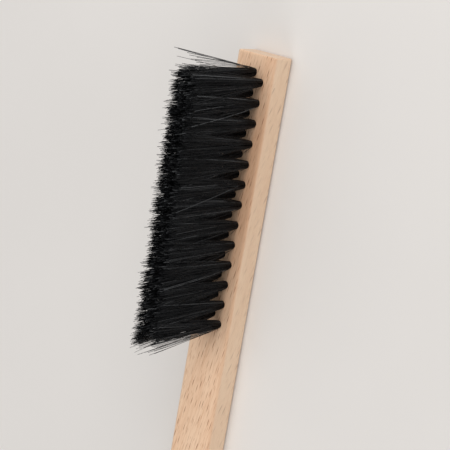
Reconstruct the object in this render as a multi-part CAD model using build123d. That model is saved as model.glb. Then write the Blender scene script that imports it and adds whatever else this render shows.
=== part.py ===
from build123d import *

import math
import os

# Bee brush. A straight beech bar is the handle at one end and the brush head at the other, where
# three staggered rows of folded bristle tufts stand in drilled holes. A flat steel anchor across
# the bottom of each hole holds its tuft: the bristles bend double under it, and its two ends bite
# into the wood.
#
# Millimetres. The bar lies on its flat back. The origin is on the back, at the middle of the bar's
# length and width. +X runs along the bar to the head end, +Z is the way the bristles point.

# Wooden bar
BAR_LENGTH = 420.0
BAR_WIDTH = 34.0
BAR_THICKNESS = 18.0
LONG_EDGE_RADIUS = 2.5
END_EDGE_RADIUS = 1.2

# Hanging hole, through the handle near its butt end
HANG_HOLE_DIAMETER = 6.0
HANG_HOLE_FROM_BUTT = 20.0
HANG_HOLE_RIM_CHAMFER = 0.8

# Pattern of the tufts. The two outer rows are in phase, and the middle row starts nearer the head end.
TUFTS_PER_ROW = 13
TUFT_PITCH = 14.0
ROW_SPACING = 7.0
MIDDLE_ROW_LEAD = 6.0
HEAD_END_MARGIN = 12.5

# Flat-bottomed hole of one tuft
HOLE_DIAMETER = 5.6
HOLE_DEPTH = 10.0

# Tuft: a packed bundle in its hole, which opens out until its tips all but meet the next tuft's
TUFT_FREE_LENGTH = 64.0
TUFT_TIP_GAP = 0.6
TUFT_HOLE_CLEARANCE = 0.1
TUFT_SIDES = 12

# Flat steel anchor, driven in across the bar
ANCHOR_THICKNESS = 0.6
ANCHOR_HEIGHT = 2.2
ANCHOR_BITE = 0.7
ANCHOR_CLEARANCE = 0.05

# Worked out from the sizes above
HEAD_END_X = BAR_LENGTH / 2
BUTT_END_X = -BAR_LENGTH / 2
HOLE_RADIUS = HOLE_DIAMETER / 2
HOLE_FLOOR_Z = BAR_THICKNESS - HOLE_DEPTH
BUNDLE_RADIUS = HOLE_RADIUS - TUFT_HOLE_CLEARANCE
NEAREST_TUFT = min(
    TUFT_PITCH,
    2 * ROW_SPACING,
    math.hypot(MIDDLE_ROW_LEAD, ROW_SPACING),
    math.hypot(TUFT_PITCH - MIDDLE_ROW_LEAD, ROW_SPACING),
)
TIP_RADIUS = (NEAREST_TUFT - TUFT_TIP_GAP) / 2
FOOT_Z = HOLE_FLOOR_Z + TUFT_HOLE_CLEARANCE
TIP_Z = BAR_THICKNESS + TUFT_FREE_LENGTH
# The bundle bends round the anchor's lower edge, so the fold under it is half the bundle thick.
ANCHOR_Z = FOOT_Z + BUNDLE_RADIUS
ANCHOR_LENGTH = HOLE_DIAMETER + 2 * ANCHOR_BITE

# Name of each row, its distance across the bar from the middle, and its lead towards the head end
ROWS = {
    "front": (-ROW_SPACING, 0.0),
    "middle": (0.0, MIDDLE_ROW_LEAD),
    "back": (ROW_SPACING, 0.0),
}


def row_places(row):
    """Centres of one row's holes on the bristle face, from the head end to the handle."""
    across, lead = ROWS[row]
    first = HEAD_END_X - HEAD_END_MARGIN - MIDDLE_ROW_LEAD + lead
    return [(first - number * TUFT_PITCH, across) for number in range(TUFTS_PER_ROW)]


def all_places():
    return [place for row in ROWS for place in row_places(row)]


def bar_blank():
    """The planed bar: moulded long edges, and both ends cut square and sanded round their rims."""
    start = Plane((BUTT_END_X, 0, BAR_THICKNESS / 2), x_dir=(0, 1, 0), z_dir=(1, 0, 0))
    section = start * RectangleRounded(BAR_WIDTH, BAR_THICKNESS, LONG_EDGE_RADIUS)
    bar = extrude(section, BAR_LENGTH)
    along = bar.faces().sort_by(Axis.X)
    return fillet(along[0].edges() + along[-1].edges(), END_EDGE_RADIUS)


def hang_hole():
    """Cutter for the hanging hole, with both of its rims broken by a chamfer."""
    radius = HANG_HOLE_DIAMETER / 2
    rim = radius + HANG_HOLE_RIM_CHAMFER
    corners = [
        (0, 0),
        (rim, 0),
        (radius, HANG_HOLE_RIM_CHAMFER),
        (radius, BAR_THICKNESS - HANG_HOLE_RIM_CHAMFER),
        (rim, BAR_THICKNESS),
        (0, BAR_THICKNESS),
    ]
    half_section = make_face(Plane.XZ * Polyline(*corners, close=True))
    return Pos(BUTT_END_X + HANG_HOLE_FROM_BUTT, 0, 0) * revolve(half_section, Axis.Z)


def anchor_plate(grow=0.0):
    """One flat anchor across a hole whose axis is at x = y = 0, at its height in the bar.

    It is longer than the hole is wide, so both its ends stand in the wood. With grow it is that
    much larger all round, as the cutter for its seat in the wood and its gap in the tuft's fold."""
    plate = Box(ANCHOR_THICKNESS + 2 * grow, ANCHOR_LENGTH + 2 * grow, ANCHOR_HEIGHT + 2 * grow)
    return Pos(0, 0, ANCHOR_Z + ANCHOR_HEIGHT / 2) * plate


def wooden_handle():
    """The bar with its hanging hole, its tuft holes and the seats that the anchors bite out."""
    hole = extrude(Pos(0, 0, BAR_THICKNESS) * Circle(HOLE_RADIUS), -HOLE_DEPTH)
    seat = anchor_plate(ANCHOR_CLEARANCE)
    cuts = [Pos(x, y, 0) * cutter for x, y in all_places() for cutter in (hole, seat)]
    return bar_blank() - hang_hole() - cuts


def ring_of_corners(radius, height):
    """A level ring round a tuft's axis: packed straight bristles make a bundle with flat sides."""
    turns = [2 * math.pi * side / TUFT_SIDES for side in range(TUFT_SIDES)]
    return [Vector(radius * math.cos(turn), radius * math.sin(turn), height) for turn in turns]


def packed_bundle(depth):
    """The packed bundle from the anchor's lower edge upwards, or downwards where depth is negative."""
    return extrude(Face(Wire.make_polygon(ring_of_corners(BUNDLE_RADIUS, ANCHOR_Z))), depth)


def folded_foot():
    """The bend under the anchor, which is as round from the side as the bundle is from above."""
    side_view = Face(Wire.make_polygon(ring_of_corners(BUNDLE_RADIUS, 0)))
    bend = extrude(Pos(0, 0, ANCHOR_Z) * Rot(90, 0, 0) * side_view, BUNDLE_RADIUS, both=True)
    return packed_bundle(-BUNDLE_RADIUS) & bend


def opened_bristles():
    """The free length, which widens evenly from the hole's mouth to the tips between flat sides."""
    mouth = ring_of_corners(BUNDLE_RADIUS, BAR_THICKNESS)
    tips = ring_of_corners(TIP_RADIUS, TIP_Z)
    outlines = [mouth, tips]
    for side in range(TUFT_SIDES):
        after = (side + 1) % TUFT_SIDES
        outlines.append([mouth[side], mouth[after], tips[after], tips[side]])
    return Solid(Shell([Face(Wire.make_polygon(outline)) for outline in outlines]))


def tuft():
    """One tuft, its hole's axis at x = y = 0: folded foot, packed shank and opened bristles."""
    shank = packed_bundle(BAR_THICKNESS - ANCHOR_Z)
    return folded_foot() + shank + opened_bristles() - anchor_plate(ANCHOR_CLEARANCE)


os.makedirs("parts", exist_ok=True)

export_step(wooden_handle(), "parts/wooden_handle.step")

one_tuft = tuft()
one_anchor = anchor_plate()
for row in ROWS:
    for number, (x, y) in enumerate(row_places(row), start=1):
        export_step(Pos(x, y, 0) * one_tuft, f"parts/tuft_{row}_{number:02d}.step")
    row_of_anchors = Compound([Pos(x, y, 0) * one_anchor for x, y in row_places(row)])
    export_step(row_of_anchors, f"parts/anchors_{row}.step")
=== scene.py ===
# %% [markdown]
# # A bee brush
# A beekeeper sweeps bees off a comb with this brush. It is one straight beech bar: one end is the
# handle, and the other carries three rows of black bristle tufts. Every tuft is a bundle that is
# folded in half, pushed into a drilled hole and held there by a small flat steel anchor. The bar and
# the anchors come ready-made from the CAD model, so this lesson gives them their finishes, grows the
# bristles one by one, and sets up a plain studio.

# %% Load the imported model
import math

import bpy
import numpy as np
from mathutils import Matrix, Vector


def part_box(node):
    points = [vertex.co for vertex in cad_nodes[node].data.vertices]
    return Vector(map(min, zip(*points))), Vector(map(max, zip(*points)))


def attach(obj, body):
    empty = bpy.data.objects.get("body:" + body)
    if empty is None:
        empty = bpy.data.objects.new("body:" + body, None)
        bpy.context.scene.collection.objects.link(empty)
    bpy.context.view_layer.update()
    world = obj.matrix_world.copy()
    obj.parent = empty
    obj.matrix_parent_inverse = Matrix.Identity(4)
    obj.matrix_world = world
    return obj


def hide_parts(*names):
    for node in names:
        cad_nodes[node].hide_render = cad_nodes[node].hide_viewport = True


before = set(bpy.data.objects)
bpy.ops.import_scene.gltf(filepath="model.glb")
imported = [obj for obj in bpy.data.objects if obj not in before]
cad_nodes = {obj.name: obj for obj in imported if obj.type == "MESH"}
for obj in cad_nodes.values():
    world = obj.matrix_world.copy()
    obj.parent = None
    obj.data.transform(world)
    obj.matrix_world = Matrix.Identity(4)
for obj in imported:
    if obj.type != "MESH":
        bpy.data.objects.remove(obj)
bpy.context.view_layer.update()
print("CAD nodes:", len(cad_nodes))

# %% [markdown]
# ## Measures
# Blender works in metres, and a brush maker in millimetres, so one constant joins the two. The bar
# lies on its back along X, with its head end at the highest X and its bristles pointing up Z. The
# bristles could stand at places typed in here, but those would go stale. So their places and sizes are
# read from the CAD nodes, and a change in the model moves the bristles with it.

# %% Read the brush's own measures
MM = 0.001

BAR_LOW, BAR_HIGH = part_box("wooden_handle")
BRISTLE_FACE_Z = BAR_HIGH.z
ROWS = ("front", "middle", "back")


def tufts_of(row):
    """Names of one row's tufts, from the head end to the handle."""
    return sorted(name for name in cad_nodes if name.startswith(f"tuft_{row}_"))


def middle_of(node):
    """The point halfway between a node's lowest and highest corners."""
    low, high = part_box(node)
    return (low + high) / 2


def in_mm(lengths):
    """Lengths or coordinates in rounded millimetres, to print."""
    return [round(length / MM, 1) for length in lengths]


TUFTS_IN_ROW = len(tufts_of("front"))
print("bar:", in_mm(BAR_HIGH - BAR_LOW), "mm, tufts in a row:", TUFTS_IN_ROW)

# %% [markdown]
# ## Colour and nodes
# Paint charts and screens give colours as sRGB hex values, while Blender's shaders reckon in linear
# light. One function turns the first into the second. Another adds a node to a material with its
# settings and its links in a single call, so that each finish below reads as a list of steps.

# %% One function for colour, one for nodes


def linear(hex_colour):
    """An sRGB hex colour as the linear RGBA that Blender's sockets expect."""
    channels = [int(hex_colour[start : start + 2], 16) / 255 for start in (1, 3, 5)]
    lit = [c / 12.92 if c <= 0.04045 else ((c + 0.055) / 1.055) ** 2.4 for c in channels]
    return (*lit, 1.0)


def new_material(name):
    """A material with an empty node tree."""
    material = bpy.data.materials.new(name)
    material.use_nodes = True
    material.node_tree.nodes.clear()
    return material


def add_node(owner, kind, *in_order, **named):
    """Add one node to a material or world, with its settings, values and links.

    Values in order go to the inputs that the node shows, from the top. A name in small letters is one
    of the node's settings, and any other is an input's, with _ for a space. An input's value is a
    number, a vector, a hex colour, an output to link from, or a node, which stands for the first
    output that it shows."""
    tree = owner.node_tree
    node = tree.nodes.new(kind)
    values = []
    for name, value in named.items():
        if name.islower():
            setattr(node, name, value)
        else:
            values.append((node.inputs[name.replace("_", " ")], value))
    values += zip([socket for socket in node.inputs if socket.enabled], in_order)
    for socket, value in values:
        if isinstance(value, bpy.types.Node):
            value = next(output for output in value.outputs if output.enabled)
        if isinstance(value, bpy.types.NodeSocket):
            tree.links.new(value, socket)
        else:
            socket.default_value = linear(value) if isinstance(value, str) else value
    return node


print("middle grey #808080 is", round(linear("#808080")[0], 3), "in linear light")

# %% [markdown]
# ## The studio floor
# The brush lies on its flat back, as it would on a sheet of pale card. The card is matte, with just
# enough unevenness in its tone to look like a real surface, and it keeps the brush's soft shadow. A
# studio would curve it up behind the brush, but a flat sheet this large shows no edge from above, and
# from low down the world behind it serves as the wall.

# %% Floor
FLOOR_SIZE = 4.0
CARD_CLOUD_MM = 111.0


def add_object(name, data):
    """A new object in the scene, made of a mesh, lamp or camera."""
    new_object = bpy.data.objects.new(name, data)
    bpy.context.scene.collection.objects.link(new_object)
    return new_object


card = new_material("pale_matte_card")
card_place = add_node(card, "ShaderNodeTexCoord").outputs["Object"]
card_clouds = add_node(
    card, "ShaderNodeTexNoise", Vector=card_place, Scale=1 / (CARD_CLOUD_MM * MM), Detail=3.0
)
card_tone = add_node(card, "ShaderNodeMix", card_clouds, "#DAD6D2", "#DEDAD6", data_type="RGBA")
card_surface = add_node(
    card,
    "ShaderNodeBsdfPrincipled",
    Base_Color=card_tone,
    Roughness=0.9,
    IOR=1.45,
    Specular_IOR_Level=0.2,
)
add_node(card, "ShaderNodeOutputMaterial", Surface=card_surface)

edge = FLOOR_SIZE / 2
floor_mesh = bpy.data.meshes.new("floor")
floor_mesh.from_pydata(
    [(-edge, -edge, 0), (edge, -edge, 0), (edge, edge, 0), (-edge, edge, 0)], [], [(0, 1, 2, 3)]
)
floor_mesh.materials.append(card)
floor = add_object("floor", floor_mesh)
print("floor:", FLOOR_SIZE, "m square")

# %% [markdown]
# ## Light
# Large, soft sources light the brush, as on a product table. The main soft box hangs almost straight
# above it and keeps the shadow on the floor short. Two more stand beyond the two ends and shine along
# the rows of tufts: the strip of wood in front of the tufts lies open to them and stays evenly bright,
# while the wood between two feet lies in the shade of its neighbours. That draws a crisp dark edge
# along the feet, which an even light from above could not do. The one at the head end is the stronger,
# and lights the end face too. A long, low one on the near side makes the side of the bar as bright as
# its bristle face. It stands far out, so that the floor under it stays as pale as elsewhere. The light
# from all round is weak, as a bright sky would fill the dark gaps that give the bristles their depth.
# Together they light the brush so that a colour comes out about as it is written.

# %% Soft boxes
LIT_POINT = Vector((0.1, 0.0, BRISTLE_FACE_Z))


def soft_box(name, toward, distance, size, power):
    """An area lamp, hung at this distance from the lit point, in the direction toward.

    Its size is (width, height) in metres, and its power is in watts."""
    lamp = bpy.data.lights.new(name, "AREA")
    lamp.shape = "RECTANGLE"
    lamp.size, lamp.size_y = size
    lamp.energy = power
    lamp_object = add_object(name, lamp)
    lamp_object.location = LIT_POINT + Vector(toward).normalized() * distance
    lamp_object.rotation_euler = Vector(toward).to_track_quat("Z", "Y").to_euler()


soft_box("top_soft_box", toward=(0.1, 0.1, 1.0), distance=1.6, size=(0.8, 0.8), power=8.5)
soft_box("head_end_soft_box", toward=(0.85, -0.25, 0.5), distance=1.6, size=(1.0, 1.0), power=9.5)
soft_box("handle_end_soft_box", toward=(-0.85, -0.25, 0.5), distance=1.6, size=(1.0, 1.0), power=6.0)
soft_box("near_side_soft_box", toward=(0.1, -0.99, 0.13), distance=2.4, size=(2.1, 0.4), power=12.0)

# %% [markdown]
# ## World
# The world does two jobs. It lights the brush a little from all round, and it is the wall that shows
# above the floor when the brush is seen from low down. A wall as pale as the floor would light the
# brush too much. So the rays that only look, straight or by way of a mirror or glass, meet the pale
# wall, and the rays that gather light meet the weaker white.

# %% World
WORLD_STRENGTH = 0.46
WALL_COLOUR = "#D2CFCB"

world = bpy.data.worlds.new("even_white_world")
world.use_nodes = True
world.node_tree.nodes.clear()
ray = add_node(world, "ShaderNodeLightPath").outputs
looking = ray["Is Camera Ray"]
for kind in ("Is Glossy Ray", "Is Transmission Ray"):
    looking = add_node(world, "ShaderNodeMath", looking, ray[kind], operation="MAXIMUM")
even_light = add_node(world, "ShaderNodeBackground", Color="#FFFFFF", Strength=WORLD_STRENGTH)
pale_wall = add_node(world, "ShaderNodeBackground", Color=WALL_COLOUR, Strength=1.0)
light_or_wall = add_node(world, "ShaderNodeMixShader", looking, even_light, pale_wall)
add_node(world, "ShaderNodeOutputWorld", Surface=light_or_wall)
bpy.context.scene.world = world
bpy.context.scene.view_settings.view_transform = "Standard"
print("world with", len(world.node_tree.nodes), "nodes")

# %% [markdown]
# ## Camera
# A long lens far away keeps the bar's sides nearly parallel. The camera stands on the front side,
# well above the floor, and is rolled so that the head end points up in the view. Its place is given
# in the words of someone who sets up a tripod: what it looks at, from which side, how high, how far,
# and how much it is rolled.

# %% Camera
CAMERA_TARGET = Vector((0.0912, 0.0020, BRISTLE_FACE_Z))
CAMERA_AZIMUTH = math.radians(17.68)
CAMERA_ELEVATION = math.radians(49.02)
CAMERA_DISTANCE = 1.3223
CAMERA_ROLL = math.radians(93.76)
CAMERA_LENS_MM = 156.0
CAMERA_SENSOR_MM = 36.0

flat = math.cos(CAMERA_ELEVATION)
backwards = Vector(
    (math.sin(CAMERA_AZIMUTH) * flat, -math.cos(CAMERA_AZIMUTH) * flat, math.sin(CAMERA_ELEVATION))
)
level_right = Vector((math.cos(CAMERA_AZIMUTH), math.sin(CAMERA_AZIMUTH), 0))
level_up = backwards.cross(level_right)
camera_up = math.sin(CAMERA_ROLL) * level_right + math.cos(CAMERA_ROLL) * level_up
camera_right = camera_up.cross(backwards)

camera_data = bpy.data.cameras.new("camera")
camera_data.lens = CAMERA_LENS_MM
camera_data.sensor_width = CAMERA_SENSOR_MM
camera = add_object("camera", camera_data)
turn = Matrix((camera_right, camera_up, backwards)).transposed()
camera.matrix_world = Matrix.Translation(CAMERA_TARGET + backwards * CAMERA_DISTANCE) @ turn.to_4x4()
bpy.context.scene.camera = camera
print("camera at", in_mm(camera.matrix_world.translation), "mm")

# %% [markdown]
# ## Beech, planed and sanded, left raw
# Beech is pale and pinkish, with an even, fine grain. What tells it from other woods is its rays:
# thin sheets that run from the heart of the tree outwards. Where a sawn face cuts them, they show as
# short dark dashes. A painted image could show them on one face only. Here the rays are sheets in the
# solid wood, worked out from the place of each point, so every face cuts them in its own way: thin
# dashes on the bristle face, longer and steeper ones on the sides. The order of the steps is the order
# in which the eye finds them: tone first, then streaks and vessel lines, then the rays on top.
#
# Raw sanded wood scatters light widely, with a faint satin sheen.

# %% The tree's directions inside the bar
BAR_DIRECTION = Vector((1, 0, 0))
# Across the rays: nearly across the bar, tipped a little, as this bar was sawn from its board.
ACROSS_RAYS = Vector((0.15, 0.93, 0.34)).normalized()
# Along the grain: as near to the bar's length as it can be in the plane of the rays.
ALONG_GRAIN = (BAR_DIRECTION - ACROSS_RAYS * ACROSS_RAYS.x).normalized()
# Out from the heart of the tree, through the growth rings.
THROUGH_RINGS = ALONG_GRAIN.cross(ACROSS_RAYS)
print("grain runs", round(math.degrees(ALONG_GRAIN.angle(BAR_DIRECTION)), 1), "degrees off the bar")

# %% Places in the wood, noise along the grain, and stain
# A Map Range turns the stretch between its first two numbers into the stretch between its last two,
# which are 0 and 1 if left out. With this setting it starts and ends softly.
SOFT_ENDS = {"interpolation_type": "SMOOTHSTEP"}

beech = new_material("raw_beech_planed_and_sanded")
beech_place = add_node(beech, "ShaderNodeTexCoord").outputs
bar_mm = add_node(beech, "ShaderNodeVectorMath", beech_place["Object"], 1 / MM, operation="SCALE")
grain_axes = [
    add_node(beech, "ShaderNodeVectorMath", bar_mm, direction, operation="DOT_PRODUCT")
    for direction in (ALONG_GRAIN, ACROSS_RAYS, THROUGH_RINGS)
]
wood_mm = add_node(beech, "ShaderNodeCombineXYZ", *grain_axes)


def grain_noise(along, across, through, detail=2.0):
    """Noise in grains of these lengths in the tree's three directions, in millimetres."""
    per_grain = (1 / along, 1 / across, 1 / through)
    place = add_node(beech, "ShaderNodeVectorMath", wood_mm, per_grain, operation="MULTIPLY")
    return add_node(beech, "ShaderNodeTexNoise", Vector=place, Scale=1.0, Detail=detail)


def stain(tone, colour, strength, *shares):
    """Lay a colour over the tone, by its strength times every share. A share is from 0 to 1."""
    for share in shares:
        strength = add_node(beech, "ShaderNodeMath", strength, share, operation="MULTIPLY")
    return add_node(beech, "ShaderNodeMix", strength, tone, colour, data_type="RGBA")


print("wood is measured along", len(grain_axes), "directions of the tree")

# %% Tone and red streaks
# Slow drifts of tone, about 90 mm long and 9 mm wide.
drift = add_node(beech, "ShaderNodeMapRange", grain_noise(90, 9, 9), 0.3, 0.7, **SOFT_ENDS)
tone = stain("#E2BC9B", "#E6C5A6", 1.0, drift)

# Streaks of a redder tone, 2 to 3 mm wide, that run far along the grain.
red_noise = grain_noise(60, 1.6, 3.0, detail=3.0)
red_streaks = add_node(beech, "ShaderNodeMapRange", red_noise, 0.5, 0.78, **SOFT_ENDS)
tone = stain(tone, "#CC9F7C", 0.55, red_streaks)
print("nodes for tone and streaks:", len(beech.node_tree.nodes))

# %% Painted shade band along the front edge
# Painted shade: a redder, darker band along the front edge of the head, where the strip in front of
# the tufts lies in their shade. Its share of the tone changes over four stretches of the bar. Each has
# its axis, its start and end in millimetres, and the shares there.
FRONT_EDGE = BAR_LOW.y / MM
HEAD_END = BAR_HIGH.x / MM
BAND_WIDTH = 13.0

bar_axes = add_node(beech, "ShaderNodeSeparateXYZ", bar_mm).outputs
band = 1.0
for axis, *stretch in (
    ("Y", FRONT_EDGE - 0.2, FRONT_EDGE + 0.8, 0.0, 1.0),
    ("Y", FRONT_EDGE + 6.0, FRONT_EDGE + BAND_WIDTH, 1.0, 0.0),
    ("X", HEAD_END - 210.0, HEAD_END - 100.0, 0.0, 1.0),
    ("X", HEAD_END - 60.0, HEAD_END - 10.0, 1.0, 0.3),
):
    share = add_node(beech, "ShaderNodeMapRange", bar_axes[axis], *stretch, **SOFT_ENDS)
    band = add_node(beech, "ShaderNodeMath", band, share, operation="MULTIPLY")
tone = stain(tone, "#D0A17D", 0.62, band)

# Painted shade: the rounded arris beside it is darker still, to dim the line of light it catches.
arris_stretch = (FRONT_EDGE + 1.5, FRONT_EDGE + 3.5, 1.0, 0.0)
beside_arris = add_node(beech, "ShaderNodeMapRange", bar_axes["Y"], *arris_stretch, **SOFT_ENDS)
tone = stain(tone, "#AE886B", 0.42, band, beside_arris)
print("painted shade band:", BAND_WIDTH, "mm wide, from the front edge at Y", round(FRONT_EDGE, 1), "mm")

# %% Vessel lines
# They are 0.1 mm wide on real beech, and drawn 0.7 mm wide so that they show at all.
vessels = add_node(beech, "ShaderNodeMapRange", grain_noise(14, 0.7, 0.7), 0.4, 0.7, **SOFT_ENDS)
tone = stain(tone, "#BE8A66", 0.26, vessels)
print("nodes so far:", len(beech.node_tree.nodes))

# %% The rays
RAY_SOFTNESS = 0.6


def ray_dashes(along, across, length, thickness):
    """Mask of rays: one in each cell of along by across millimetres, length by thickness in size.

    A ray is drawn around the middle of its cell, so its size stays the same however the cells fall.
    The second output tells the cells apart, so that some rays are strong and most are faint."""
    per_cell = (1 / along, 1 / across, 1)
    place = add_node(beech, "ShaderNodeVectorMath", wood_mm, per_cell, operation="MULTIPLY")
    cells = add_node(
        beech,
        "ShaderNodeTexVoronoi",
        voronoi_dimensions="2D",
        feature="F1",
        Vector=place,
        Scale=1.0,
        Randomness=0.9,
    ).outputs
    away = add_node(beech, "ShaderNodeVectorMath", place, cells["Position"], operation="SUBTRACT")
    cells_to_rays = (2 * along / length, 2 * across / thickness, 0)
    in_rays = add_node(beech, "ShaderNodeVectorMath", away, cells_to_rays, operation="MULTIPLY")
    reach = add_node(beech, "ShaderNodeVectorMath", in_rays, operation="LENGTH")
    rim = (1 - RAY_SOFTNESS, 1 + RAY_SOFTNESS, 1.0, 0.0)
    mask = add_node(beech, "ShaderNodeMapRange", reach, *rim, **SOFT_ENDS)
    which_ray = add_node(beech, "ShaderNodeSeparateColor", cells["Color"])
    return mask, which_ray


# How nearly a face lies along the rays: 1 where it does, 0 where it cuts them square.
facing_across = add_node(
    beech, "ShaderNodeVectorMath", beech_place["Normal"], ACROSS_RAYS, operation="DOT_PRODUCT"
)
along_rays = add_node(beech, "ShaderNodeMath", facing_across, operation="ABSOLUTE")
# A face along the rays shows them faintly.
on_this_face = add_node(beech, "ShaderNodeMapRange", along_rays, 0.4, 0.9, 1.0, 0.65, **SOFT_ENDS)

# Rays that catch the eye. On real beech they are 0.1 to 0.2 mm thick, and are drawn 0.4 mm thick so
# that they show.
big_rays, which_big = ray_dashes(along=10.5, across=3.4, length=5.4, thickness=0.4)
big_strength = add_node(beech, "ShaderNodeMapRange", which_big, 0.1, 0.95, 0.3, 1.0, **SOFT_ENDS)
tone = stain(tone, "#7E4425", 1.0, big_rays, big_strength, on_this_face)

# Smaller ones between them.
small_rays, which_small = ray_dashes(along=6.0, across=1.8, length=3.2, thickness=0.32)
small_strength = add_node(beech, "ShaderNodeMapRange", which_small, 0.2, 1.0, **SOFT_ENDS)
tone = stain(tone, "#A0663E", 0.52, small_rays, small_strength, on_this_face)
print("nodes with the rays:", len(beech.node_tree.nodes))

# %% Paler sides, painted shade on the front arris, and end grain with painted light
# The sides, which lie along the rays, are drawn a little paler and greyer than the bristle face.
side_share = add_node(beech, "ShaderNodeMapRange", along_rays, 0.4, 0.95, **SOFT_ENDS)
tone = stain(tone, "#D3C1AA", 0.45, side_share)

# Painted shade on the front arris: its rounding faces the lamps and catches a bright line, so it is
# drawn a shade darker than its two faces. It faces forwards and up, so the product of the two is -0.5
# there. It is so on the lower back arris too, which gets the same painted shade.
facing = add_node(beech, "ShaderNodeSeparateXYZ", beech_place["Normal"]).outputs
forwards_and_up = add_node(beech, "ShaderNodeMath", facing["Y"], facing["Z"], operation="MULTIPLY")
arris = add_node(beech, "ShaderNodeMapRange", forwards_and_up, -0.5, -0.1, 1.0, 0.0, **SOFT_ENDS)
tone = stain(tone, "#B08A6C", 0.38, arris)

# The ends show cut pores in place of streaks and rays. Their pale tone is painted light, standing in
# for the light that falls on the end faces.
end_pores = add_node(beech, "ShaderNodeMapRange", grain_noise(40, 0.5, 0.5), 0.35, 0.7, **SOFT_ENDS)
end_tone_and_light = stain("#E6CBB2", "#D6B698", 1.0, end_pores)
facing_endwise = add_node(beech, "ShaderNodeMath", facing["X"], operation="ABSOLUTE")
end_share = add_node(beech, "ShaderNodeMapRange", facing_endwise, 0.75, 0.95, **SOFT_ENDS)
tone = stain(tone, end_tone_and_light, 1.0, end_share)
print("nodes with sides and ends:", len(beech.node_tree.nodes))

# %% Sanded surface
SANDED_RELIEF_MM = 0.05

fine_grain = grain_noise(6, 0.3, 0.3)
relief = add_node(
    beech, "ShaderNodeBump", Height=fine_grain, Strength=0.25, Distance=SANDED_RELIEF_MM * MM
)
sheen_drift = add_node(beech, "ShaderNodeMapRange", fine_grain, 0.3, 0.7, 0.52, 0.64, **SOFT_ENDS)
beech_surface = add_node(
    beech,
    "ShaderNodeBsdfPrincipled",
    Base_Color=tone,
    Roughness=sheen_drift,
    IOR=1.5,
    Normal=relief,
)
add_node(beech, "ShaderNodeOutputMaterial", Surface=beech_surface)

handle = cad_nodes["wooden_handle"]
handle.data.materials.clear()
handle.data.materials.append(beech)
print("beech on", handle.name, "with", len(beech.node_tree.nodes), "nodes")

# %% [markdown]
# ## Cold-rolled steel strip
# The anchors are cut from thin flat steel. Rolling leaves fine lines along the strip and a soft grey
# shine. The lines could be scratches drawn one by one, but noise that is stretched along the strip
# looks the same and needs no drawing. The anchors sit deep in the holes and hardly show, but the part
# is only whole if they are finished too.

# %% Anchors
# The strips lie across the bar, so their rolled lines are long in Y.
ROLL_LINE_MM = (0.05, 3.0, 0.05)
ROLL_RELIEF_MM = 0.02

steel = new_material("cold_rolled_steel_strip")
steel_place = add_node(steel, "ShaderNodeTexCoord").outputs["Object"]
per_line = [1 / (length * MM) for length in ROLL_LINE_MM]
roll_place = add_node(steel, "ShaderNodeVectorMath", steel_place, per_line, operation="MULTIPLY")
roll_lines = add_node(steel, "ShaderNodeTexNoise", Vector=roll_place, Scale=1.0, Detail=2.0)
steel_tone = add_node(steel, "ShaderNodeMix", roll_lines, "#A9ABAE", "#C6C8CA", data_type="RGBA")
roll_relief = add_node(
    steel, "ShaderNodeBump", Height=roll_lines, Strength=0.2, Distance=ROLL_RELIEF_MM * MM
)
steel_surface = add_node(
    steel,
    "ShaderNodeBsdfPrincipled",
    Base_Color=steel_tone,
    Metallic=1.0,
    Roughness=0.35,
    Normal=roll_relief,
)
add_node(steel, "ShaderNodeOutputMaterial", Surface=steel_surface)

for row in ROWS:
    anchors = cad_nodes[f"anchors_{row}"]
    anchors.data.materials.clear()
    anchors.data.materials.append(steel)
print("steel on the anchors of", len(ROWS), "rows")

# %% [markdown]
# ## Black nylon bristle
# Brush nylon is pressed through a plate with fine holes, drawn out and cut. The drawing leaves it
# smooth and a little shiny, so each bristle carries one thin highlight along its length, and a mass
# of them looks deep black between those lines. A few strands are painted pale, as painted highlights
# that stand in for those thin lines. A colour for each would take thousands of materials, but Blender
# can give each separate island of a mesh its own random number, and every strand is an island here.
# So one material makes most strands black and paints a few pale.

# %% Bristle finish
PAINTED_HIGHLIGHT_POWER = 10.0
DRAW_MARK_MM = 2.0

nylon = new_material("drawn_black_nylon")
which_strand = add_node(nylon, "ShaderNodeNewGeometry").outputs["Random Per Island"]
# Painted highlights: a few strands are made pale, to stand in for lines of light on glossy bristles.
painted_highlight_share = add_node(nylon, "ShaderNodeMath", which_strand, PAINTED_HIGHLIGHT_POWER, operation="POWER")
strand_tone_and_highlights = add_node(nylon, "ShaderNodeMix", painted_highlight_share, "#09090A", "#727476", data_type="RGBA")
nylon_place = add_node(nylon, "ShaderNodeTexCoord").outputs["Object"]
draw_marks = add_node(
    nylon, "ShaderNodeTexNoise", Vector=nylon_place, Scale=1 / (DRAW_MARK_MM * MM), Detail=1.0
)
nylon_gloss = add_node(nylon, "ShaderNodeMapRange", draw_marks, 0.3, 0.7, 0.26, 0.36)
nylon_surface = add_node(
    nylon,
    "ShaderNodeBsdfPrincipled",
    Base_Color=strand_tone_and_highlights,
    Roughness=nylon_gloss,
    IOR=1.53,
    Specular_IOR_Level=0.21,
    Specular_Tint="#E9F2FF",
)
add_node(nylon, "ShaderNodeOutputMaterial", Surface=nylon_surface)
print("nylon with", len(nylon.node_tree.nodes), "nodes")

# %% [markdown]
# ## How a tuft is packed
# A strand is a length of nylon that is bent double under the anchor, so it comes out of the hole
# twice, once on each side of the anchor. Points scattered at random in the hole would run into each
# other. The strands lie against each other like pencils in a round tin, so their places are worked
# out as a maker packs them: a triangular pattern of points in the half circle on one side of the
# anchor, and their mirror image on the other.

# %% Places of the strands in a hole
BRISTLE_DIAMETER = 0.26
STRAND_PITCH = 0.27
SLACK_IN_PACKING = 0.02
ANCHOR_HALF_THICKNESS = 0.3

foot_low, foot_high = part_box("tuft_front_01")
anchor_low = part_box("anchors_front")[0]
FOLD_Z = anchor_low.z / MM
BUNDLE_RADIUS = FOLD_Z - foot_low.z / MM
MOUTH_Z = BRISTLE_FACE_Z / MM
FREE_LENGTH = foot_high.z / MM - MOUTH_Z


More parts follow.
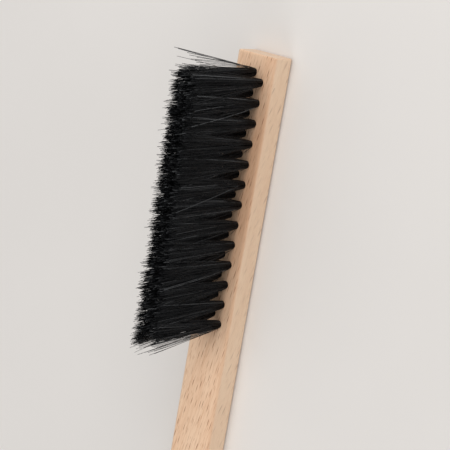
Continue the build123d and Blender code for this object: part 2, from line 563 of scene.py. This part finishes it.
def strand_places(chance):
    """Where strands stand on one side of the anchor, in millimetres from the hole's axis."""
    outermost = BUNDLE_RADIUS - BRISTLE_DIAMETER / 2
    innermost = ANCHOR_HALF_THICKNESS + BRISTLE_DIAMETER / 2
    line_gap = STRAND_PITCH * math.sqrt(3) / 2
    lines = int(2 * outermost / line_gap) + 1
    steps = int(outermost / STRAND_PITCH) + 1
    places = []
    for line in range(lines):
        across = (line - (lines - 1) / 2) * line_gap
        shift = (line % 2) * STRAND_PITCH / 2
        for step in range(steps):
            out = innermost + shift + step * STRAND_PITCH
            if math.hypot(out, across) <= outermost:
                places.append((out, across + chance.normal(0, SLACK_IN_PACKING)))
    return np.array(places)


print("strands in a tuft:", len(strand_places(np.random.default_rng(0))))

# %% [markdown]
# ## How a tuft opens
# The wood's grip ends at the mouth of the hole, so the bundle swells a little just above it. Then it
# fans out along the bar, as each half springs away from the anchor between them, and hardly at all
# across it. On top of that even fan every bristle strays a little by itself. A few wild ones stray a
# lot, and lean towards the handle, the way the brush is drawn over a comb. Every tuft leans as a whole
# too: those near the handle lean towards it most, and some at the ends of the head lean their own way,
# as they have a neighbour on one side only.
#
# Blender's hair could grow such tufts, but it can't fold under an anchor or be a solid piece of the
# part. So every tip gets its place from a few random draws, the same ones each time.

# %% Where the tips stand, in millimetres along and across the bar
# The fan adds this many times a strand's own distance from the hole's axis.
FAN = np.array((2.0, 0.15))

# Each stray is cut off at the limit times its spread.
STRAY_SPREAD = np.array((1.6, 0.9))
WILD_SPREAD = np.array((4.5, 3.5))
WILD_SHARE = 0.09
STRAY_LIMIT = 2.2
TUFT_LEAN_SPREAD = 0.6

# How far the tips lean towards the head end at places from the head end, 0, to the handle, 1, and how
# far the wild ones of a tuft lean towards the handle there.
LEAN_PLACES = (0.0, 0.12, 0.3, 0.6, 0.85, 0.94, 1.0)
LEAN_AT_PLACES = (-3.2, -1.5, 0.0, -0.5, -4.5, -4.5, -3.2)
WILD_LEAN_AT_PLACES = (1.2, 3.6, 4.8, 6.0, 6.0, 4.2, 1.5)

# End tufts that lean their own way: how much more towards the head end.
LEANS_APART = {
    "tuft_back_01": 0.8,
    "tuft_middle_01": -3.0,
    "tuft_front_13": 2.0,
    "tuft_middle_13": -1.0,
    "tuft_back_13": -2.5,
}


def fanned_tips(places, position, apart_lean, chance):
    """Tips of the bristles at places. position is 0 at the head end and 1 at the handle."""
    count = len(places)
    lean = chance.normal(0, TUFT_LEAN_SPREAD, 2)
    lean[0] += np.interp(position, LEAN_PLACES, LEAN_AT_PLACES) + apart_lean
    wild = chance.random(count) < WILD_SHARE
    spread = np.where(wild[:, None], WILD_SPREAD, STRAY_SPREAD)
    stray = chance.normal(0, 1, (count, 2)).clip(-STRAY_LIMIT, STRAY_LIMIT) * spread
    tips = places * (1 + FAN) + stray + lean
    wild_lean = np.interp(position, LEAN_PLACES, WILD_LEAN_AT_PLACES)
    tips[wild, 0] -= chance.exponential(wild_lean, wild.sum())
    return tips


print("tufts that lean their own way:", len(LEANS_APART))

# %% [markdown]
# ## How the tips end
# Tips that stand close cling together in locks. The brush was trimmed as one field, slightly shorter
# near the handle, but some bristles in the heart of a lock escaped the shears, and they make the
# trimmed edge ragged. A level cut through all the tips would be simpler, but it would look like a
# plastic broom.

# %% Locks and trimmed lengths, in millimetres
# A lock pulls each of its tips a share of the way to its middle. The shears missed most in its heart.
LOCKS = 120
LOCK_PULL = (0.0, 0.2)
LOCK_HEART_RADIUS = 0.6

# The trimmed field stands this much above the plain CAD tufts. Single bristles and whole tufts differ
# a little from it.
TRIM_AT_HEAD = 1.4
TRIM_AT_HANDLE = -2.4
TRIM_SPREAD = 0.8
TUFT_TRIM_SPREAD = 0.4

# What escaped the shears stands above that, up to the longest peak.
LOCK_PEAK = 1.8
UNTRIMMED = 0.9
LONGEST_PEAK = 6.0


def cling_in_locks(tips, chance):
    """The tips pulled towards the middles of their locks.

    It also gives each tip's lock, and how near to the heart of it the tip stood, up to 1."""
    locks = tips[chance.choice(len(tips), LOCKS, replace=False)]
    apart = np.linalg.norm(tips[:, None] - locks[None], axis=2)
    lock = np.argmin(apart, axis=1)
    pull = chance.uniform(*LOCK_PULL, LOCKS)[lock][:, None]
    in_heart = np.exp(-((apart.min(axis=1) / LOCK_HEART_RADIUS) ** 2))
    return tips + (locks[lock] - tips) * pull, lock, in_heart


def trimmed_lengths(position, lock, in_heart, chance):
    """How far each bristle stands out of the wood."""
    count = len(lock)
    trim = FREE_LENGTH + TRIM_AT_HEAD + (TRIM_AT_HANDLE - TRIM_AT_HEAD) * position
    trim += chance.normal(0, TUFT_TRIM_SPREAD)
    peak = chance.exponential(LOCK_PEAK, LOCKS)[lock] * in_heart
    length = trim + chance.normal(0, TRIM_SPREAD, count)
    return length + np.minimum(peak + chance.exponential(UNTRIMMED, count), LONGEST_PEAK)


print("free length of a plain tuft:", round(FREE_LENGTH, 1), "mm, locks in half a tuft:", LOCKS)

# %% [markdown]
# ## Bristles that have sprung out
# A few bristles have sprung out of their tuft altogether. Single ones lean out over the front edge of
# the head, and small fans of them stand at its two ends. One bristle alone would be too thin to see
# on a whole brush, so these are drawn a little thicker than the rest.

# %% Sprung bristles, in millimetres
SPRUNG_DIAMETER = 0.31
# How far chance moves a tip along the bar, across it and up.
SPRUNG_SCATTER = (0.6, 1.5, 3.0)

# Single ones: how far along the bar each tip has gone, towards the head end if positive.
SPRUNG_SINGLY = {
    "tuft_front_03": (13,),
    "tuft_front_04": (-20,),
    "tuft_front_05": (5,),
    "tuft_front_06": (-2,),
    "tuft_middle_07": (-18,),
    "tuft_front_08": (-28,),
    "tuft_front_09": (-9, -14, -20),
    "tuft_front_10": (-11,),
}
SINGLE_ACROSS_AND_UP = (-7, 61)

# Fans: how many, and where the first and the last tip stand from the hole's mouth, along the bar,
# across it and up.
SPRUNG_FANS = {
    "tuft_middle_01": (12, (13, 13, 65), (4, -4, 58)),
    "tuft_back_01": (3, (6, 3, 66), (0, 7, 69)),
    "tuft_front_13": (8, (-18, 7, 65), (-12, -4, 60)),
}


def sprung_tips(node, chance):
    """Tips of the bristles that have sprung out of one tuft."""
    tips = [(along, *SINGLE_ACROSS_AND_UP) for along in SPRUNG_SINGLY.get(node, ())]
    if node in SPRUNG_FANS:
        count, first, last = SPRUNG_FANS[node]
        tips += np.linspace(first, last, count).tolist()
    return [chance.normal(tip, SPRUNG_SCATTER) for tip in tips]


def bend_out(places, tips, lengths, sprung):
    """Give each sprung tip to the bristle that stands furthest to its side, and tell which they are."""
    taken = []
    for along, across, up in sprung:
        outness = places @ np.array((along, across))
        outness[taken] = -np.inf
        furthest = int(np.argmax(outness))
        tips[furthest] = along, across
        lengths[furthest] = up
        taken.append(furthest)
    return taken


print("tufts with sprung bristles:", len(SPRUNG_SINGLY) + len(SPRUNG_FANS))

# %% [markdown]
# ## The line of a strand
# Each strand is one line from tip to tip: down one side, round the fold under the anchor and up the
# other. A free end leaves the mouth of the hole with a quick swell, and goes on to its tip with a
# slight bow. Simulated springy hairs would find such lines too, but slowly, and here a formula gives
# them at once.

# %% Free ends
# Where a line has its points, from its foot, 0, to its tip, 1. The last but one is right below the cut,
# so that the walls keep their round shading up to it.
FREE_STEPS = np.array([0.0, 0.03, 0.07, 0.13, 0.24, 0.4, 0.6, 0.8, 0.996, 1.0])
# The swell is a share of the strand's distance from the axis, and comes within this share of the way.
FOOT_SWELL = 0.16
FOOT_SWELL_UP = 0.05
# Under 1, a strand moves out faster near its foot than near its tip.
OUTWARD_CURVE = 0.92
BOW_SPREAD = 0.25


def free_ends(places, position, apart_lean, sprung, chance):
    """Lines of the free ends that start at places, and which of them have sprung out."""
    tips = fanned_tips(places, position, apart_lean, chance)
    tips, lock, in_heart = cling_in_locks(tips, chance)
    lengths = trimmed_lengths(position, lock, in_heart, chance)
    taken = bend_out(places, tips, lengths, sprung)

    bow = chance.normal(0, BOW_SPREAD, (len(places), 2))
    steps = FREE_STEPS[None, :, None]
    swell = FOOT_SWELL * (1 - np.exp(-steps / FOOT_SWELL_UP)) * (1 - steps)
    sideways = places[:, None] * (1 + swell) + (tips - places)[:, None] * steps**OUTWARD_CURVE
    sideways = sideways + bow[:, None] * 4 * steps * (1 - steps)
    height = MOUTH_Z + lengths[:, None, None] * steps
    ends = np.concatenate([sideways, np.broadcast_to(height, sideways.shape[:2] + (1,))], axis=2)
    return ends, taken


print("points along a free end:", len(FREE_STEPS))

# %% Folded strands
FOLD_POINTS = 6
FOLD_TURNS = np.linspace(0, math.pi, FOLD_POINTS)


def strand_lines(position, apart_lean, sprung, chance):
    """Lines of all strands of one tuft, from tip to tip, in millimetres from the hole's axis.

    The second output is the thickness of each strand."""
    places = strand_places(chance)
    mirrored = places * (-1, 1)
    to_head = [tip for tip in sprung if tip[0] > 0]
    to_handle = [tip for tip in sprung if tip[0] <= 0]
    first, sprung_first = free_ends(places, position, apart_lean, to_head, chance)
    second, sprung_second = free_ends(mirrored, position, apart_lean, to_handle, chance)
    thickness = np.full(len(places), BRISTLE_DIAMETER)
    thickness[sprung_first + sprung_second] = SPRUNG_DIAMETER
    out, across = places[:, :1], places[:, 1:]
    fold = np.stack(
        [
            out * np.cos(FOLD_TURNS),
            np.broadcast_to(across, (len(places), FOLD_POINTS)),
            FOLD_Z - out * np.sin(FOLD_TURNS),
        ],
        axis=2,
    )
    return np.concatenate([first[:, ::-1], fold, second], axis=1), thickness


print("points along a whole strand:", 2 * len(FREE_STEPS) + FOLD_POINTS)

# %% [markdown]
# ## From lines to solid bristles
# A curve with a bevel would turn each line into a tube, but thousands of curves are slow, and their
# cut ends are hard to shape. So the tubes are written straight into a mesh: a ring of four corners
# at every point of the line, walls from ring to ring, and a flat cap on each cut end. Smooth shading
# makes the four walls look round, and the flat caps catch the light as cut ends do.

# %% Tubes along lines
RING_CORNERS = 4
TIP_THINNING = 0.8


def bristle_tubes(name, lines, thickness):
    """A mesh of one closed tube for every line. lines is strands x points x 3. All is in metres."""
    strands, points = lines.shape[:2]
    heading = np.gradient(lines, axis=1)
    heading /= np.linalg.norm(heading, axis=2, keepdims=True)
    first_side = np.cross((0.0, 1.0, 0.0), heading)
    first_side /= np.linalg.norm(first_side, axis=2, keepdims=True)
    second_side = np.cross(heading, first_side)
    radius = np.repeat(thickness[:, None] / 2, points, axis=1)
    radius[:, [0, -1]] *= TIP_THINNING
    corners = []
    for corner in range(RING_CORNERS):
        angle = math.tau * corner / RING_CORNERS
        sideways = math.cos(angle) * first_side + math.sin(angle) * second_side
        corners.append(lines + radius[:, :, None] * sideways)
    vertices = np.stack(corners, axis=2)

    index = np.arange(strands * points * RING_CORNERS).reshape(strands, points, RING_CORNERS)
    beside = np.roll(index, -1, axis=2)
    walls = np.stack([index[:, :-1], beside[:, :-1], beside[:, 1:], index[:, 1:]], axis=3)
    walls = walls.reshape(-1, 4)
    caps = np.concatenate([index[:, 0, ::-1], index[:, -1]])

    mesh = bpy.data.meshes.new(name)
    mesh.from_pydata(vertices.reshape(-1, 3).tolist(), [], walls.tolist() + caps.tolist())
    mesh.polygons.foreach_set("use_smooth", [True] * len(walls) + [False] * len(caps))
    mesh.materials.append(nylon)
    return mesh


print("corners around a bristle:", RING_CORNERS)

# %% Grow every tuft
strands_made = 0
for row_number, row in enumerate(ROWS):
    for number, node in enumerate(tufts_of(row)):
        chance = np.random.default_rng(100 * row_number + number)
        position = number / (TUFTS_IN_ROW - 1)
        apart_lean = LEANS_APART.get(node, 0.0)
        lines, thickness = strand_lines(position, apart_lean, sprung_tips(node, chance), chance)
        lines *= MM
        hole = middle_of(node)
        lines[:, :, 0] += hole.x
        lines[:, :, 1] += hole.y
        mesh = bristle_tubes(f"bristles_{row}_{number + 1:02d}", lines, thickness * MM)
        tuft = add_object(mesh.name, mesh)
        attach(tuft, "root")
        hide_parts(node)
        strands_made += len(lines)
print("strands:", strands_made, "bristle ends:", 2 * strands_made)
